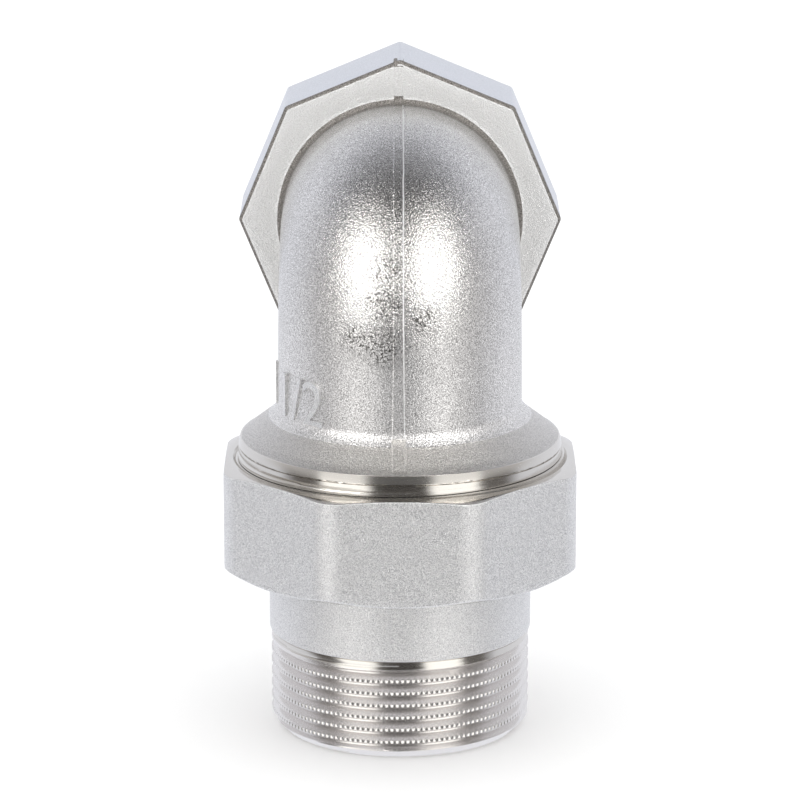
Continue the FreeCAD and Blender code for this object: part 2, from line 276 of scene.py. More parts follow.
tail = thread_wall(
    "tail_piece_body", NOTCH_COUNT * 4, THREAD_RADIUS, base=0.0, top=THREAD_TOP,
    crest_height=15.05, fade=(16.3, THREAD_TOP), chamfer=2.1, notches=NOTCH_COUNT,
)
print("tail rim edges", pick_rim(tail, THREAD_TOP))
groove = [(THREAD_RADIUS, 18.6), (23.75, 18.75), (24.05, 18.85), (TAIL_TUBE, 19.1)]
last = turn(groove, (THREAD_RADIUS, THREAD_TOP))
last = turn([(TAIL_TUBE, height) for height in (22.0, 28.0, SHOULDER_BASE - 0.9)], last)
last = turn(arc_points((TAIL_TUBE + 0.9, SHOULDER_BASE - 0.9), 0.9, 180, 90, 4), last)
shoulder = [(27.3, SHOULDER_BASE), (SHOULDER, 36.0), (SHOULDER, 39.5), (27.3, TAIL_TOP)]
last = turn(shoulder + [(20.0, TAIL_TOP), (TAIL_BORE, 39.5)], last)
last = turn([(TAIL_BORE, 30.0), (TAIL_BORE, 15.0), (TAIL_BORE, 0.5), (20.0, 0.0)], last)
close_rings(tail)
smooth(tail)
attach(tail, "tail")
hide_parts("tail_piece")

# %% [markdown]
# The union end of the elbow is turned and threaded, and the bend above it is as forged. The lathe
# part comes first: thread, a plain band, a rough line where the turning stops, a narrow cone and
# the skirt. A quarter spin of the same ring makes the bend, so that its columns run on without a
# joint.

# %% Elbow: union end, skirt and bend
COLUMNS = 160
UNION_RADIUS = 29.8
TUBE = 22.4
WATERWAY = 19.5
BEND_BASE = 62.05
BEND_RADIUS = 26.0
SOCKET_AXIS = BEND_BASE + BEND_RADIUS
BEND_STEPS = 40

UNION_BASE, UNION_TOP = 42.0, 53.2
UNION_CREST = 49.55
SKIRT_RIM, SKIRT_BASE = 29.1, 55.4

elbow = thread_wall(
    "elbow_forging", COLUMNS, UNION_RADIUS, base=UNION_BASE, top=UNION_TOP,
    crest_height=UNION_CREST, fade=(51.4, 52.5), chamfer=0.8,
)
print("elbow rim edges", pick_rim(elbow, UNION_TOP))
rough_line = [(UNION_RADIUS, 53.5), (29.5, 53.6), (29.5, 53.75), (29.75, 53.85)]
last = turn(rough_line, (UNION_RADIUS, UNION_TOP))
last = turn([(29.6, 54.6), (29.4, 55.25), (29.15, 55.32)], last)
skirt_slope = math.radians(37.3)
climb = math.tan(skirt_slope)
foot = (TUBE, SKIRT_BASE + (SKIRT_RIM - TUBE) * climb)
BLEND_DOWN, BLEND_UP = 3.6, 1.5
BLEND_STEPS = 10


def skirt_blend(share):
    """The hollow between skirt and tube, from the skirt at 0 to the tube at 1: a point
    (radius, height) and the direction in which the outline runs there."""
    down = (math.cos(skirt_slope), -math.sin(skirt_slope))
    start = (foot[0] + BLEND_DOWN * down[0], foot[1] + BLEND_DOWN * down[1])
    end = (foot[0], foot[1] + BLEND_UP)
    weights = ((1 - share) ** 2, 2 * share * (1 - share), share**2)
    point = tuple(sum(w * p[i] for w, p in zip(weights, (start, foot, end))) for i in (0, 1))
    run = [(1 - share) * (foot[i] - start[i]) + share * (end[i] - foot[i]) for i in (0, 1)]
    return point, (run[0] / math.hypot(*run), run[1] / math.hypot(*run))


last = turn([(27.5, SKIRT_BASE + (SKIRT_RIM - 27.5) * climb)], last)
last = turn([skirt_blend(i / BLEND_STEPS)[0] for i in range(BLEND_STEPS + 1)], last)
last = turn([(TUBE, BEND_BASE)], last)
BEND_CENTRE = (0, BEND_RADIUS * MM, BEND_BASE * MM)
bpy.ops.mesh.spin(steps=BEND_STEPS, angle=math.pi / 2, center=BEND_CENTRE, axis=(1, 0, 0))

# %% [markdown]
# The socket and the nut are octagons with rounded corners. A round ring becomes an octagon when
# its vertices move outwards. Some columns are bunched at the corners, so that these come out as
# true arcs, while the flats need none in between. A bevel on a plain eight-sided prism would
# round the corners too, but its ring would no longer match the round parts that it grows from.

# %% Octagon rings
EIGHTH = math.pi / 4


class Octagon:
    """A rounded octagon about an axis, in mm. Angles are measured in the plane across the axis."""

    def __init__(self, flat, corner_round, first_corner, column_step, bunched_columns):
        self.flat, self.corner_round, self.first_corner = flat, corner_round, first_corner
        self.centre = (flat - corner_round) / math.cos(EIGHTH / 2)
        self.round_end = math.atan2(
            corner_round * math.sin(EIGHTH / 2), self.centre + corner_round * math.cos(EIGHTH / 2)
        )
        self.even = [0, bunched_columns * column_step, EIGHTH / 2]
        self.bunched = [0, self.round_end, EIGHTH / 2]

    def off_corner(self, angle):
        """The signed angle from the nearest corner, and that corner's own angle."""
        off = (angle - self.first_corner + EIGHTH / 2) % EIGHTH - EIGHTH / 2
        return off, angle - off

    def reach(self, off, inset=0.0):
        """How far the outline is from the axis, at an angle from its nearest corner."""
        off = abs(off)
        if off >= self.round_end - 1e-6:
            return (self.flat - inset) / math.cos(EIGHTH / 2 - off)
        side = self.centre * math.sin(off)
        bow = math.sqrt(self.corner_round**2 - side**2)
        return self.centre * math.cos(off) + bow - inset * 1.04

    def turned(self, angle, before, after):
        """The angle after the columns are bunched at the corners, or spread evenly again."""
        off, corner = self.off_corner(angle)
        return corner + math.copysign(np.interp(abs(off), before, after), off)


socket = Octagon(28.35, 1.1, math.pi / 2, 2 * math.pi / COLUMNS, 2)
print("socket across corners", round(2 * socket.reach(0), 2), "mm")

# %% [markdown]
# The octagon's ring runs along the socket, over its rounded edges and back through the bore, and
# the waterway follows the bend down to the union end. A Boolean could join a prism to the bend
# instead, but it leaves ragged faces where this keeps clean rings.

# %% Elbow: octagon socket and waterway
SOCKET_BACK, SOCKET_FRONT = 34.0, 56.0
BACK_ROUND, FRONT_ROUND = 0.95, 0.8


def socket_ring(along, inset, bend=None, share=1.0, circle=0.0):
    """A rule that puts a ring on the octagon, or a share of the way from a circle to it."""

    def rule(x, y, z):
        angle = math.atan2(z - SOCKET_AXIS, x)
        if bend:
            angle = socket.turned(angle, *bend)
        reach = socket.reach(socket.off_corner(angle)[0], inset) * share + circle * (1 - share)
        return reach * math.cos(angle), along, SOCKET_AXIS + reach * math.sin(angle)

    return rule


def add_ring(piece, rule):
    bpy.ops.mesh.extrude_region_move(TRANSFORM_OT_translate={"value": (0, 0, 0)})
    place_selected(piece, rule)


ROOT_ROUND = 1.5
last = turn([(TUBE, 30.0), (TUBE, SOCKET_BACK - ROOT_ROUND)], (TUBE, BEND_RADIUS), "y", SOCKET_AXIS)
root_arc = arc_points((TUBE + ROOT_ROUND, SOCKET_BACK - ROOT_ROUND), ROOT_ROUND, 180, 90, 4)
last = turn(root_arc, last, "y", SOCKET_AXIS)
for share in (0.3, 0.65):
    add_ring(elbow, socket_ring(SOCKET_BACK, BACK_ROUND, share=share, circle=last[0]))
add_ring(elbow, socket_ring(SOCKET_BACK, BACK_ROUND, (socket.even, socket.bunched)))
for degrees in (22.5, 45, 67.5, 90):
    bow = math.radians(degrees)
    along = SOCKET_BACK + BACK_ROUND * (1 - math.cos(bow))
    add_ring(elbow, socket_ring(along, BACK_ROUND * (1 - math.sin(bow))))
for along in (40.0, 45.0, 50.0, SOCKET_FRONT - FRONT_ROUND):
    add_ring(elbow, socket_ring(along, 0.0))
for degrees in (30, 60, 90):
    bow = math.radians(degrees)
    along = SOCKET_FRONT - FRONT_ROUND * (1 - math.sin(bow))
    add_ring(elbow, socket_ring(along, FRONT_ROUND * (1 - math.cos(bow))))

MOUTH, MINOR = 24.12, 22.42
spread_again = (socket.bunched, socket.even)
add_ring(elbow, socket_ring(SOCKET_FRONT, FRONT_ROUND, spread_again, share=0.0, circle=MOUTH))
bore = [(THREAD_RADIUS, 55.78), (THREAD_RADIUS, 46.0), (THREAD_RADIUS, 38.0), (MINOR, 37.2)]
bore += [(MINOR, 36.0), (19.8, 36.0), (WATERWAY, 35.7), (WATERWAY, BEND_RADIUS)]
last = turn(bore, (MOUTH, SOCKET_FRONT), "y", SOCKET_AXIS)
bpy.ops.mesh.spin(steps=BEND_STEPS, angle=-math.pi / 2, center=BEND_CENTRE, axis=(1, 0, 0))
seat = [(WATERWAY, 46.5), (21.0, 46.5), (21.0, 42.4), (21.4, UNION_BASE)]
last = turn(seat, (WATERWAY, BEND_BASE))
close_rings(elbow)
smooth(elbow)
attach(elbow, "elbow")
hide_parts("elbow_body")

# %% [markdown]
# The union nut is grown the same way, from the edge of its top opening outwards and down. A cone
# cuts its top and bottom corners, so the chamfer is wide at the corners and narrow at the flats.
# A Boolean with a cone would cut the same arcs. Here each column knows how far out it is, so its
# height on the cone follows from that, and the arcs appear by themselves.

# %% Union nut
NUT_COLUMNS = 192
NUT_TOP, NUT_BASE = 51.3, 31.5
CONE_START = 32.0
TOP_SLOPE, BASE_SLOPE = 0.27, 0.57
EDGE_ROUND = 0.3
NUT_MOUTH, NUT_RIM = 30.8, 31.5
NUT_MAJOR, LIP, LIP_TOP = 29.9, 24.6, 35.5
octagon_nut = Octagon(32.2, 8.0, math.pi / 2 + EIGHTH / 2, 2 * math.pi / NUT_COLUMNS, 4)


def nut_ring(place, bend=None):
    """A rule that puts a ring where place(reach) says, as a radius and a height in mm."""

    def rule(x, y, z):
        angle = math.atan2(y, x)
        if bend:
            angle = octagon_nut.turned(angle, *bend)
        radius, height = place(octagon_nut.reach(octagon_nut.off_corner(angle)[0]))
        return radius * math.cos(angle), radius * math.sin(angle), height

    return rule


def cone_height(radius, top):
    beyond = max(0.0, radius - CONE_START)
    return NUT_TOP - beyond * TOP_SLOPE if top else NUT_BASE + beyond * BASE_SLOPE


def edge_place(share, top):
    """A point on the rounded edge between cone and side, from the cone at 0 to the side at 1."""

    def place(reach):
        down = -EDGE_ROUND if top else EDGE_ROUND
        start = (reach - EDGE_ROUND, cone_height(reach - EDGE_ROUND, top))
        corner = (reach, cone_height(reach, top))
        end = (reach, corner[1] + down)
        weights = ((1 - share) ** 2, 2 * share * (1 - share), share**2)
        return tuple(sum(w * p[i] for w, p in zip(weights, (start, corner, end))) for i in (0, 1))

    return place


bpy.ops.object.select_all(action="DESELECT")
bpy.ops.mesh.primitive_circle_add(
    vertices=NUT_COLUMNS, radius=NUT_MOUTH * MM, location=(0, 0, NUT_TOP * MM)
)
nut = bpy.context.object
nut.name = nut.data.name = "union_nut_forging"
bpy.ops.object.transform_apply(location=True, rotation=True, scale=True)
bpy.ops.object.mode_set(mode="EDIT")
bpy.ops.mesh.select_all(action="SELECT")
last = turn([(31.2, NUT_TOP), (NUT_RIM, NUT_TOP)], (NUT_MOUTH, NUT_TOP))
add_ring(nut, nut_ring(lambda reach: (31.7, NUT_TOP), (octagon_nut.even, octagon_nut.bunched)))
for share in (0.0, 0.25, 0.5, 0.75, 1.0):
    add_ring(nut, nut_ring(edge_place(share, True)))
for height in (48.0, 45.0, 41.4, 38.0, 35.0):
    add_ring(nut, nut_ring(lambda reach, height=height: (reach, height)))
for share in (1.0, 0.75, 0.5, 0.25, 0.0):
    add_ring(nut, nut_ring(edge_place(share, False)))
add_ring(nut, nut_ring(lambda reach: (NUT_RIM, NUT_BASE), (octagon_nut.bunched, octagon_nut.even)))
inside = [(28.0, NUT_BASE), (25.0, NUT_BASE), (LIP, 31.9), (LIP, LIP_TOP), (NUT_MAJOR, LIP_TOP)]
inside += [(NUT_MAJOR, 50.4), (NUT_MOUTH, NUT_TOP)]
last = turn(inside, (NUT_RIM, NUT_BASE))
bpy.ops.object.mode_set(mode="OBJECT")
heal(nut)
smooth(nut)
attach(nut, "nut")
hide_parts("union_nut")

# %% [markdown]
# Forged fittings carry raised marks. A plain pipe size stands for them here. Letters could be
# sculpted, but typed ones are crisper. The text object gets some thickness, is made a mesh, and
# is then wrapped round the tube by turning each point's distance along the line into an angle.

# %% Raised size mark
MARK_HEIGHT, MARK_PROUD = 8.6, 0.36
MARK_START, MARK_FOOT = math.radians(-99), 60.9
MARK_SUNK = 0.5
CAPITAL_SHARE = 0.73

bpy.ops.object.select_all(action="DESELECT")
bpy.ops.object.text_add(location=(0, 0, 0))
mark = bpy.context.object
mark.name = "size_mark"
mark.data.body = "1 1/2"
mark.data.size = MARK_HEIGHT / CAPITAL_SHARE * MM
mark.data.extrude = MARK_SUNK * MM
mark.data.resolution_u = 6
bpy.ops.object.convert(target="MESH")
mark = bpy.context.object
mark.data.name = "size_mark"
letters = get_points(mark) / MM
angle = MARK_START + letters[:, 0] / TUBE
out = TUBE + MARK_PROUD - MARK_SUNK + letters[:, 2]
wrapped = [out * np.sin(angle), -out * np.cos(angle), MARK_FOOT + letters[:, 1]]
set_points(mark, np.stack(wrapped, axis=1) * MM)
heal(mark)
width, height = np.ptp(letters[:, 0]), letters[:, 1].max()
print("mark width", round(float(width), 2), "height", round(float(height), 2), "mm")
smooth(mark)
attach(mark, "elbow")

# %% [markdown]
# Where the lathe tool stopped, it left a fine burr round the elbow, just above the thread. The
# elbow's own edge could be displaced, but its columns are too wide for that. So the burr is a
# thin ring whose thickness, height and reach change by chance from one short stretch to the next.

# %% Turning burr
BURR_STEPS = 256
BURR_RADIUS, BURR_HEIGHT, BURR_THICK = 29.6, 53.75, 0.1

bpy.ops.object.select_all(action="DESELECT")
bpy.ops.mesh.primitive_torus_add(
    major_segments=BURR_STEPS, minor_segments=6, location=(0, 0, BURR_HEIGHT * MM),
    major_radius=BURR_RADIUS * MM, minor_radius=BURR_THICK * MM,
)
burr = bpy.context.object
burr.name = burr.data.name = "turning_burr"
bpy.ops.object.transform_apply(location=True, rotation=True, scale=True)
chance = np.random.default_rng(11)
points = get_points(burr) / MM
angle = np.arctan2(points[:, 1], points[:, 0])
step = np.rint((angle + math.pi) / (2 * math.pi) * BURR_STEPS).astype(int) % BURR_STEPS
thick = (0.4 + 1.6 * chance.random(BURR_STEPS) ** 3)[step]
lift = np.convolve(chance.normal(0, 0.14, BURR_STEPS + 4), np.ones(5) / 5, "valid")[step]
reach = BURR_RADIUS + (np.hypot(points[:, 0], points[:, 1]) - BURR_RADIUS) * thick
height = BURR_HEIGHT + (points[:, 2] - BURR_HEIGHT) * thick + lift
points = np.stack([reach * np.cos(angle), reach * np.sin(angle), height], axis=1)
set_points(burr, points * MM)
smooth(burr, 60)
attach(burr, "elbow")

# %% [markdown]
# The forging's two die halves met in the plane through the pipe's axes. The thin flash squeezed
# out there was trimmed off, which leaves a flat, slightly proud seam all along the elbow's back.
# The elbow's columns don't run along it, so raising its faces wouldn't do. The seam is a strip
# that follows the surface, sunk a little into it so that no gap shows.

# %% The seam's line
SEAM_HALF_TOP, SEAM_HALF_TUBE, SEAM_HALF_FOOT = 0.92, 1.0, 1.25
SEAM_ASIDE = -0.25
SEAM_PROUD = 0.09
SEAM_STEP = 0.5
SEAM_TOP, SEAM_EDGE = SOCKET_AXIS + 30.42, SOCKET_AXIS + 29.5
FLASH_LENGTH = 3.6


def seam_line():
    """Points along the elbow's back in its middle plane, from the socket's top to the skirt's
    foot: y, z and the direction away from the metal."""
    line = []

    def straight(start, end, out):
        count = max(1, round(math.dist(start, end) / SEAM_STEP))
        for i in range(count):
            y, z = (start[k] + (end[k] - start[k]) * i / count for k in (0, 1))
            line.append((y, z, out))

    def bow(centre, radius, start_deg, end_deg, hollow):
        count = max(3, round(abs(math.radians(end_deg - start_deg)) * radius / SEAM_STEP))
        for i in range(count):
            a = math.radians(start_deg + (end_deg - start_deg) * i / count)
            way = -1 if hollow else 1
            y, z = centre[0] + radius * math.cos(a), centre[1] + radius * math.sin(a)
            line.append((y, z, (way * math.cos(a), way * math.sin(a))))

    tube_top = SOCKET_AXIS + TUBE
    straight((SOCKET_BACK + FLASH_LENGTH, SEAM_TOP), (SOCKET_BACK + 0.5, SEAM_TOP), (0, 1))
    straight((SOCKET_BACK + 0.5, SEAM_TOP), (SOCKET_BACK, SEAM_EDGE), (-0.7, 0.7))
    straight((SOCKET_BACK, SEAM_EDGE), (SOCKET_BACK, tube_top + ROOT_ROUND), (-1, 0))
    bow((SOCKET_BACK - ROOT_ROUND, tube_top + ROOT_ROUND), ROOT_ROUND, 0, -90, True)
    straight((SOCKET_BACK - ROOT_ROUND, tube_top), (BEND_RADIUS, tube_top), (0, 1))
    bow((BEND_RADIUS, BEND_BASE), BEND_RADIUS + TUBE, 90, 180, False)
    line.append((-TUBE, BEND_BASE, (-1, 0)))
    for i in range(BLEND_STEPS, -1, -1):
        (radius, height), run = skirt_blend(i / BLEND_STEPS)
        line.append((-radius, height, (-run[1], -run[0])))
    skirt_out = (-math.sin(skirt_slope), math.cos(skirt_slope))
    skirt_start = (line[-1][0] - 0.4, line[-1][1] - 0.4 * climb)
    straight(skirt_start, (0.2 - SKIRT_RIM, SKIRT_BASE + 0.2 * climb), skirt_out)
    return line


seam_points = seam_line()
print("seam points", len(seam_points))

# %% [markdown]
# The strip is a narrow grid with one column for each point of the line and six rows round its
# section. Its width and height wander a little by chance, as a trimmed edge does.

# %% Trimmed seam
seam, column, row = rolled_grid("trimmed_seam", len(seam_points) - 1, 6)
chance = np.random.default_rng(7)



def wander(width, size):
    """A smooth chance value for each point of the seam."""
    steps = chance.normal(0, 1, len(seam_points) + width - 1)
    return np.convolve(steps, np.ones(width) / width, "valid") * size


half_wander, height_wander = wander(9, 0.08), wander(5, 0.04)
halves = [SEAM_HALF_TOP, SEAM_HALF_TUBE, SEAM_HALF_TUBE, SEAM_HALF_FOOT]
half = np.interp(np.linspace(0, 1, len(seam_points)), [0, 0.12, 0.7, 1], halves) + half_wander
section = [(-1, -0.5, -0.1), (-1, 0, 0), (-1, 1, 0.22), (1, 1, -0.25), (1, 0, 0), (1, -0.5, 0.1)]
points = []
for c, r in zip(column, row):
    y, z, out = seam_points[c]
    side, lift, shift = section[r % 6]
    proud = (SEAM_PROUD + height_wander[c]) * lift if lift > 0 else lift
    x = side * half[c] + shift + SEAM_ASIDE
    points.append((x, y + out[0] * proud, z + out[1] * proud))
set_points(seam, np.array(points) * MM)
heal(seam, holes=True)
smooth(seam, 12)
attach(seam, "elbow")

# %% [markdown]
# Female threads are ridges that stand inwards from the wall of a bore. A Boolean with a screw
# could cut them, but it is slow and tends to leave holes. Here each is one long closed ridge
# wound as a helix, whose two ends sink into the wall. The nut's ridge lies in the grooves of the
# elbow's thread with a little play, so the nut can be unscrewed without cutting into it.

# %% Inner threads of nut and socket
RIDGE_PLAY = 0.06
RIDGE_STEPS = 96


def inner_thread(name, wall, steps, front_height, base, turns, about="z"):
    """A helical ridge on the inside of a bore. front_height is the ridge's middle at the front,
    base the height near which it starts."""
    piece, column, row = rolled_grid(name, int(steps * turns), 6)
    lowest = front_height - math.floor((front_height - base) / PITCH) * PITCH
    angle = column / steps * 2 * math.pi
    middle = lowest + PITCH * column / steps
    foot = CREST / 2 + FLANK + ROOT / 2
    half_root, half_tip = foot - CREST / 2 - RIDGE_PLAY, ROOT / 2
    across = np.array([-half_root, -half_root, -half_tip, half_tip, half_root, half_root])
    inward = np.array([-0.4, 0.0, 1.0, 1.0, 0.0, -0.4])
    part = row % 6
    fade = np.clip(np.minimum(column, column.max() - column) / (steps / 8), 0, 1)
    rise = np.where(inward[part] > 0, inward[part] * (DEPTH - 0.05) * fade - 0.02, inward[part])
    radius = wall - rise
    front = angle - math.pi / 2
    along = middle + across[part]
    if about == "z":
        points = [radius * np.cos(front), radius * np.sin(front), along]
    else:
        points = [radius * np.cos(-front), along, SOCKET_AXIS + radius * np.sin(-front)]
    set_points(piece, np.stack(points, axis=1) * MM)
    heal(piece, holes=True)
    smooth(piece)
    return piece


groove_height = UNION_CREST + PITCH / 2
nut_thread = inner_thread(
    "union_nut_thread", NUT_MAJOR, RIDGE_STEPS, groove_height, base=37.5, turns=5.4
)
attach(nut_thread, "nut")
socket_thread = inner_thread(
    "socket_thread", THREAD_RADIUS, RIDGE_STEPS, 38.2, base=38.2, turns=7.0, about="y"
)
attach(socket_thread, "elbow")

# %% [markdown]
# A material is a small network of nodes, and the same few nodes come again and again: sums,
# colour ramps, noises and mixes. They could be added one by one in each material. A helper for
# each of them keeps the networks readable here, and an effect that several materials share is a
# node group.

# %% Node helpers
def new_group(name, inputs, outputs):
    """A shader node group with number inputs {name: value} and outputs {name: socket type}."""
    group = bpy.data.node_groups.new(name, "ShaderNodeTree")
    for socket, value in inputs.items():
        made = group.interface.new_socket(
            name=socket, in_out="INPUT", socket_type="NodeSocketFloat"
        )
        made.default_value = value
    for socket, kind in outputs.items():
        group.interface.new_socket(name=socket, in_out="OUTPUT", socket_type=kind)
    return group, group.nodes.new("NodeGroupInput"), group.nodes.new("NodeGroupOutput")


def maths(tree, kind, *values, clamp=False):
    """A Math node fed with numbers or sockets, and its output."""
    node = tree.nodes.new("ShaderNodeMath")
    node.operation = kind
    node.use_clamp = clamp
    for socket, value in zip(node.inputs, values):
        if isinstance(value, (int, float)):
            socket.default_value = value
        else:
            tree.links.new(value, socket)
    return node.outputs[0]


def ramp(tree, value, stops):
    """A colour ramp with (position, grey or colour) stops, and its output."""
    node = tree.nodes.new("ShaderNodeValToRGB")
    tree.links.new(value, node.inputs[0])
    elements = node.color_ramp.elements
    while len(elements) < len(stops):
        elements.new(0.5)
    for element, (position, shade) in zip(elements, stops):
        element.position = position
        element.color = (*shade, 1) if isinstance(shade, tuple) else (shade, shade, shade, 1)
    return node.outputs[0]


def noise(tree, vector, scale, detail, roughness=0.5):
    """A Noise Texture node, whose scale is a number or a socket, and its output."""
    node = tree.nodes.new("ShaderNodeTexNoise")
    node.inputs["Detail"].default_value = detail
    node.inputs["Roughness"].default_value = roughness
    tree.links.new(vector, node.inputs["Vector"])
    if isinstance(scale, (int, float)):
        node.inputs["Scale"].default_value = scale
    else:
        tree.links.new(scale, node.inputs["Scale"])
    return node.outputs["Fac"]


def mix_colour(tree, share, first, second):
    """A Mix node between two colours, tuples or sockets, and its output."""
    node = tree.nodes.new("ShaderNodeMix")
    node.data_type = "RGBA"
    given = ((node.inputs[0], share), (node.inputs[6], first), (node.inputs[7], second))
    for socket, value in given:
        if isinstance(value, (int, float)):
            socket.default_value = value
        elif isinstance(value, tuple):
            socket.default_value = (*value, 1)
        else:
            tree.links.new(value, socket)
    return node.outputs[2]

# %% [markdown]
# Forged and blasted nickel isn't mirror-like: small craters a few tenths of a millimetre wide
# scatter the light, so that it sparkles in fine grains. A photograph of such a surface could be
# laid on, but noises need no file and never repeat. One group makes the grain from two of them,
# as a height for the bump and as a change of colour, because the bottoms of the craters look
# darker. Its sizes are inputs, so that every finish can use it.

# %% Grain group
def grain_group():
    """Height of the craters, their pits from 0 to 1, and wide patches round 0.5."""
    group, given, made = new_group(
        "crater_grain",
        {"Grain mm": 0.3, "Patch mm": 8.0, "Patch strength": 0.3},
        {"Height": "NodeSocketFloat", "Pits": "NodeSocketFloat", "Patches": "NodeSocketFloat"},
    )
    where = group.nodes.new("ShaderNodeTexCoord").outputs["Object"]
    fine_scale = maths(group, "DIVIDE", 1000.0, given.outputs["Grain mm"])
    fine = noise(group, where, fine_scale, 1.5, 0.6)
    coarse_scale = maths(group, "DIVIDE", 420.0, given.outputs["Grain mm"])
    coarse = noise(group, where, coarse_scale, 2.0)
    patch_scale = maths(group, "DIVIDE", 1000.0, given.outputs["Patch mm"])
    patches = noise(group, where, patch_scale, 3.0)
    centred = maths(group, "SUBTRACT", patches, 0.5)
    patchy = maths(group, "MULTIPLY_ADD", centred, given.outputs["Patch strength"], 0.5)
    height = maths(group, "ADD", fine, maths(group, "MULTIPLY", coarse, 0.8))
    pits = maths(group, "SUBTRACT", maths(group, "MULTIPLY", fine, 3.0), 1.0, clamp=True)
    group.links.new(height, made.inputs["Height"])
    group.links.new(pits, made.inputs["Pits"])
    group.links.new(patchy, made.inputs["Patches"])
    return group


GRAIN = grain_group()

# %% [markdown]
# Blasted nickel could be a plain rough metal, but then it would look like satin. Here the metal
# itself stays rather smooth and the craters bend its reflections, which gives grains that light
# up one by one. Where the blasting was finest, it scatters light all round as frost does. A metal
# share below 1 stands for that.

# %% Blasted nickel
PATCH_SIZE = 8.0


def grained_nickel(name, dark, light, rough, grain, depth, metal=1.0, patch_strength=0.6):
    """Blasted nickel: colours of crater bottoms and tops, (lowest, highest) roughness, grain
    size and crater depth in mm, and the share of the light that it mirrors as metal."""
    made = bpy.data.materials.new(name)
    made.use_nodes = True
    tree = made.node_tree
    shader = tree.nodes["Principled BSDF"]
    shader.inputs["Metallic"].default_value = metal
    craters = tree.nodes.new("ShaderNodeGroup")
    craters.node_tree = GRAIN
    craters.inputs["Grain mm"].default_value = grain
    craters.inputs["Patch mm"].default_value = PATCH_SIZE
    craters.inputs["Patch strength"].default_value = patch_strength
    metal_colour = mix_colour(tree, craters.outputs["Pits"], dark, light)
    tree.links.new(metal_colour, shader.inputs["Base Color"])
    patches = craters.outputs["Patches"]
    spread = maths(tree, "MULTIPLY_ADD", patches, rough[1] - rough[0], rough[0])
    tree.links.new(spread, shader.inputs["Roughness"])
    bump = tree.nodes.new("ShaderNodeBump")
    bump.inputs["Strength"].default_value = 1.0
    bump.inputs["Distance"].default_value = depth * MM
    tree.links.new(craters.outputs["Height"], bump.inputs["Height"])
    tree.links.new(bump.outputs["Normal"], shader.inputs["Normal"])
    return made

# %% [markdown]
# The forging has the widest craters. On the bend lies a painted dark reflection: dark specks that
# gather in a few round places. It could be painted on. Here distances from those places make its
# mask, and a fine noise its specks, so that it needs no picture.

# %% Forged nickel and its painted dark reflection
forged = grained_nickel(
    "forged_blasted_nickel", (0.29, 0.285, 0.285), (1.0, 0.99, 0.99), rough=(0.05, 0.15),
    grain=0.19, depth=0.075,
)
# Painted dark reflection: round places on the bend where dark specks darken the colour.
PAINTED_REFLECTION_SPOTS = [
    (-0.0028, -0.0170, 0.0838, 0.0050),
    (-0.0030, -0.0198, 0.0770, 0.0055),
    (-0.0077, -0.0184, 0.0776, 0.0040),
    (0.0045, -0.0180, 0.0812, 0.0036),
    (-0.0027, -0.0137, 0.0894, 0.0040),
]
# Colours of the painted dark reflection and of the painted shade near the socket, and that shade's
# share.
PAINTED_REFLECTION_COLOUR, ROOT_SHADE_COLOUR, ROOT_SHADE_SHARE = (0.08, 0.075, 0.07), (0.22, 0.215, 0.21), 0.75
ROOT_START, ROOT_SPAN = 0.0300, 0.0035
METAL_LOW, METAL_GAIN = 0.61, 0.37
METAL_START, METAL_SPAN = 0.070, 0.018

tree = forged.node_tree
shader = tree.nodes["Principled BSDF"]
where = tree.nodes.new("ShaderNodeTexCoord").outputs["Object"]


def nearness(place, reach):
    """1 at a place, falling to 0 at its reach, both in metres."""
    away = tree.nodes.new("ShaderNodeVectorMath")
    away.operation = "DISTANCE"
    tree.links.new(where, away.inputs[0])
    away.inputs[1].default_value = place
    share = maths(tree, "DIVIDE", away.outputs["Value"], reach)
    return maths(tree, "SUBTRACT", 1.0, share, clamp=True)


near = 0.0
for x, y, z, reach in PAINTED_REFLECTION_SPOTS:
    near = maths(tree, "MAXIMUM", near, nearness((x, y, z), reach))
fine = noise(tree, where, 2600.0, 2.0, 0.7)
specks = maths(tree, "MULTIPLY_ADD", fine, 8.0, -3.9, clamp=True)
painted_reflection = maths(tree, "MULTIPLY", maths(tree, "MULTIPLY", near, 1.8, clamp=True), specks)

# %% [markdown]
# Low on the tube the blasting was dense, so the metal share falls there, and higher up on the
# bend it mirrors the lamps. Close to the socket the hollow sees little light, so the colour is
# darkened there as painted shade. Both changes follow Object coordinates, which move with the
# piece.

# %% Forged nickel along the pipe
place = tree.nodes.new("ShaderNodeSeparateXYZ")
tree.links.new(where, place.inputs[0])
above = maths(tree, "SUBTRACT", place.outputs["Z"], METAL_START)
polish = maths(tree, "DIVIDE", above, METAL_SPAN, clamp=True)
metal_share = maths(tree, "MULTIPLY_ADD", polish, METAL_GAIN, METAL_LOW)
tree.links.new(metal_share, shader.inputs["Metallic"])
# Painted shade: the colour darkens towards the socket, where the hollow sees little light.
behind = maths(tree, "SUBTRACT", place.outputs["Y"], ROOT_START)
root = maths(tree, "DIVIDE", behind, ROOT_SPAN, clamp=True)
clean = shader.inputs["Base Color"].links[0].from_socket
# The painted dark reflection is mixed into the forging's colour here.
with_painted_reflection = mix_colour(tree, painted_reflection, clean, PAINTED_REFLECTION_COLOUR)
shaded = mix_colour(tree, maths(tree, "MULTIPLY", root, ROOT_SHADE_SHARE), with_painted_reflection, ROOT_SHADE_COLOUR)
tree.links.new(shaded, shader.inputs["Base Color"])
